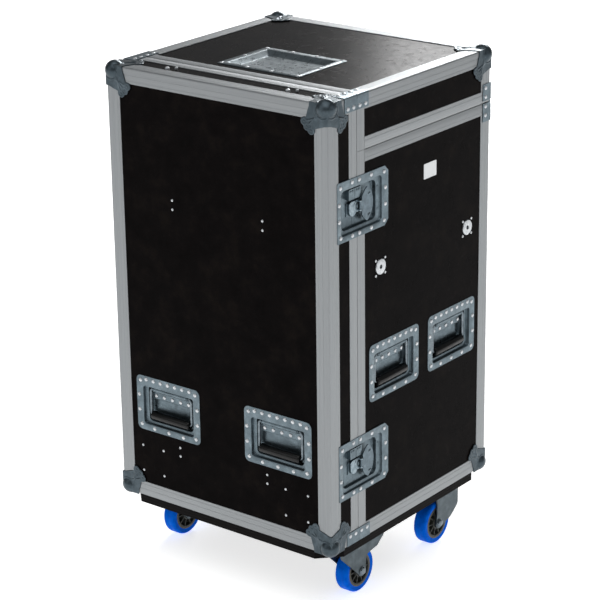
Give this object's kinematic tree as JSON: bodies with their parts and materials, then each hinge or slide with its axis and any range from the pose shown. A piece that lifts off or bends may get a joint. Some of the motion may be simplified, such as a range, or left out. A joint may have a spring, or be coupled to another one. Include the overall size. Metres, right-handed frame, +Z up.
{
  "type": "wheeled rack road case",
  "caption": "Tall black laminated road case with aluminium edges, lift-off front cover, hinged top lid, sprung drop handles, butterfly latches and swivel castors.",
  "frame": {"origin": "on the floor, under the middle of the case: the centre of the bottom of the bounding box", "axes": "+X to the right seen from the front, -Y out of the front cover, +Z up"},
  "size_m": [0.595, 0.5929, 1.125],
  "materials": {
    "black_laminate": "satin film-faced plywood",
    "aluminium_extrusion": "mill-finish anodised",
    "pressed_steel": "dark zinc-plated, satin",
    "rivet_steel": "bright zinc",
    "zinc_fittings": "bright zinc",
    "wing_steel": "dark zinc-plated, satin",
    "badge_aluminium": "brushed",
    "birch_batten": "planed",
    "rail_steel": "powder coated",
    "castor_steel": "zinc-plated, satin",
    "blue_tread": "moulded elastic tread",
    "wheel_core": "moulded polyamide",
    "grip_rubber": "moulded"
  },
  "bodies": {
    "case": {"body_panels": "black_laminate", "body_extrusions": "aluminium_extrusion", "body_corners": "pressed_steel", "body_braces": "pressed_steel", "castor_board": "black_laminate", "castor_plates": "castor_steel", "side_handle_dishes": "pressed_steel", "latch_dishes": "pressed_steel", "body_rivets": "rivet_steel", "side_bosses": "zinc_fittings", "badge_plate": "badge_aluminium", "rack_battens": "birch_batten", "rack_rails": "rail_steel"},
    "front_cover": {"cover_panels": "black_laminate", "cover_extrusions": "aluminium_extrusion", "cover_corners": "pressed_steel", "cover_braces": "pressed_steel", "front_handle_dishes": "pressed_steel", "latch_keepers": "pressed_steel", "cover_fixings": "rivet_steel"},
    "top_lid": {"lid_panels": "black_laminate", "lid_extrusions": "aluminium_extrusion", "lid_corners": "pressed_steel", "lid_braces": "pressed_steel", "lid_dish": "pressed_steel", "lid_rivets": "rivet_steel"},
    "handle_1": {"handle_bail_1": "zinc_fittings", "handle_grip_1": "grip_rubber"},
    "handle_2": {"handle_bail_2": "zinc_fittings", "handle_grip_2": "grip_rubber"},
    "handle_3": {"handle_bail_3": "zinc_fittings", "handle_grip_3": "grip_rubber"},
    "handle_4": {"handle_bail_4": "zinc_fittings", "handle_grip_4": "grip_rubber"},
    "handle_5": {"handle_bail_5": "zinc_fittings", "handle_grip_5": "grip_rubber"},
    "handle_6": {"handle_bail_6": "zinc_fittings", "handle_grip_6": "grip_rubber"},
    "latch_1": {"latch_rotor_1": "zinc_fittings"},
    "latch_1_butterfly": {"latch_wing_1": "wing_steel"},
    "latch_2": {"latch_rotor_2": "zinc_fittings"},
    "latch_2_butterfly": {"latch_wing_2": "wing_steel"},
    "latch_3": {"latch_rotor_3": "zinc_fittings"},
    "latch_3_butterfly": {"latch_wing_3": "wing_steel"},
    "latch_4": {"latch_rotor_4": "zinc_fittings"},
    "latch_4_butterfly": {"latch_wing_4": "wing_steel"},
    "castor_1": {"castor_fork_1": "castor_steel"},
    "castor_1_wheel": {"castor_tyre_1": "blue_tread", "castor_core_1": "wheel_core"},
    "castor_2": {"castor_fork_2": "castor_steel"},
    "castor_2_wheel": {"castor_tyre_2": "blue_tread", "castor_core_2": "wheel_core"},
    "castor_3": {"castor_fork_3": "castor_steel"},
    "castor_3_wheel": {"castor_tyre_3": "blue_tread", "castor_core_3": "wheel_core"},
    "castor_4": {"castor_fork_4": "castor_steel"},
    "castor_4_wheel": {"castor_tyre_4": "blue_tread", "castor_core_4": "wheel_core"}
  },
  "joints": [
    {"name": "cover_slide", "type": "slide", "parent": "case", "child": "front_cover", "axis": [0, -1, 0], "range_m": [0, 0.3]},
    {"name": "lid_hinge", "type": "hinge", "parent": "case", "child": "top_lid", "pos_m": [0, 0.2882, 0.9995], "axis": [-1, 0, 0], "range_deg": [0, 100]},
    {"name": "handle_1_swing", "type": "hinge", "parent": "front_cover", "child": "handle_1", "pos_m": [-0.1505, -0.277, 0.4035], "axis": [-1, 0, 0], "range_deg": [0, 90], "stiffness_Nm_per_rad": 0.3, "springref_deg": -11.46},
    {"name": "handle_2_swing", "type": "hinge", "parent": "front_cover", "child": "handle_2", "pos_m": [0.1505, -0.277, 0.4035], "axis": [-1, 0, 0], "range_deg": [0, 90], "stiffness_Nm_per_rad": 0.3, "springref_deg": -11.46},
    {"name": "handle_3_swing", "type": "hinge", "parent": "case", "child": "handle_3", "pos_m": [0.278, -0.063, 0.542], "axis": [0, -1, 0], "range_deg": [0, 90], "stiffness_Nm_per_rad": 0.3, "springref_deg": -11.46},
    {"name": "handle_4_swing", "type": "hinge", "parent": "case", "child": "handle_4", "pos_m": [0.278, 0.15, 0.542], "axis": [0, -1, 0], "range_deg": [0, 90], "stiffness_Nm_per_rad": 0.3, "springref_deg": -11.46},
    {"name": "handle_5_swing", "type": "hinge", "parent": "case", "child": "handle_5", "pos_m": [-0.278, -0.063, 0.542], "axis": [0, 1, 0], "range_deg": [0, 90], "stiffness_Nm_per_rad": 0.3, "springref_deg": -11.46},
    {"name": "handle_6_swing", "type": "hinge", "parent": "case", "child": "handle_6", "pos_m": [-0.278, 0.15, 0.542], "axis": [0, 1, 0], "range_deg": [0, 90], "stiffness_Nm_per_rad": 0.3, "springref_deg": -11.46},
    {"name": "latch_1_turn", "type": "hinge", "parent": "case", "child": "latch_1", "pos_m": [0.279, -0.181, 0.8841], "axis": [1, 0, 0], "range_deg": [0, 90]},
    {"name": "latch_1_flip", "type": "hinge", "parent": "latch_1", "child": "latch_1_butterfly", "pos_m": [0.286, -0.178, 0.8841], "axis": [0, 0, -1], "range_deg": [0, 95]},
    {"name": "latch_2_turn", "type": "hinge", "parent": "case", "child": "latch_2", "pos_m": [0.279, -0.181, 0.3193], "axis": [1, 0, 0], "range_deg": [0, 90]},
    {"name": "latch_2_flip", "type": "hinge", "parent": "latch_2", "child": "latch_2_butterfly", "pos_m": [0.286, -0.178, 0.3193], "axis": [0, 0, -1], "range_deg": [0, 95]},
    {"name": "latch_3_turn", "type": "hinge", "parent": "case", "child": "latch_3", "pos_m": [-0.279, -0.181, 0.8841], "axis": [1, 0, 0], "range_deg": [0, 90]},
    {"name": "latch_3_flip", "type": "hinge", "parent": "latch_3", "child": "latch_3_butterfly", "pos_m": [-0.286, -0.178, 0.8841], "axis": [0, 0, 1], "range_deg": [0, 95]},
    {"name": "latch_4_turn", "type": "hinge", "parent": "case", "child": "latch_4", "pos_m": [-0.279, -0.181, 0.3193], "axis": [1, 0, 0], "range_deg": [0, 90]},
    {"name": "latch_4_flip", "type": "hinge", "parent": "latch_4", "child": "latch_4_butterfly", "pos_m": [-0.286, -0.178, 0.3193], "axis": [0, 0, 1], "range_deg": [0, 95]},
    {"name": "castor_1_swivel", "type": "hinge", "parent": "case", "child": "castor_1", "pos_m": [0.2425, -0.184, 0.117], "axis": [0, 0, 1], "continuous": true},
    {"name": "castor_1_spin", "type": "hinge", "parent": "castor_1", "child": "castor_1_wheel", "pos_m": [0.2425, -0.1465, 0.05], "axis": [1, 0, 0], "continuous": true},
    {"name": "castor_2_swivel", "type": "hinge", "parent": "case", "child": "castor_2", "pos_m": [-0.2425, -0.184, 0.117], "axis": [0, 0, 1], "continuous": true},
    {"name": "castor_2_spin", "type": "hinge", "parent": "castor_2", "child": "castor_2_wheel", "pos_m": [-0.2425, -0.1465, 0.05], "axis": [1, 0, 0], "continuous": true},
    {"name": "castor_3_swivel", "type": "hinge", "parent": "case", "child": "castor_3", "pos_m": [0.2425, 0.184, 0.117], "axis": [0, 0, 1], "continuous": true},
    {"name": "castor_3_spin", "type": "hinge", "parent": "castor_3", "child": "castor_3_wheel", "pos_m": [0.2425, 0.1465, 0.05], "axis": [1, 0, 0], "continuous": true},
    {"name": "castor_4_swivel", "type": "hinge", "parent": "case", "child": "castor_4", "pos_m": [-0.2425, 0.184, 0.117], "axis": [0, 0, 1], "continuous": true},
    {"name": "castor_4_spin", "type": "hinge", "parent": "castor_4", "child": "castor_4_wheel", "pos_m": [-0.2425, 0.1465, 0.05], "axis": [1, 0, 0], "continuous": true}
  ]
}
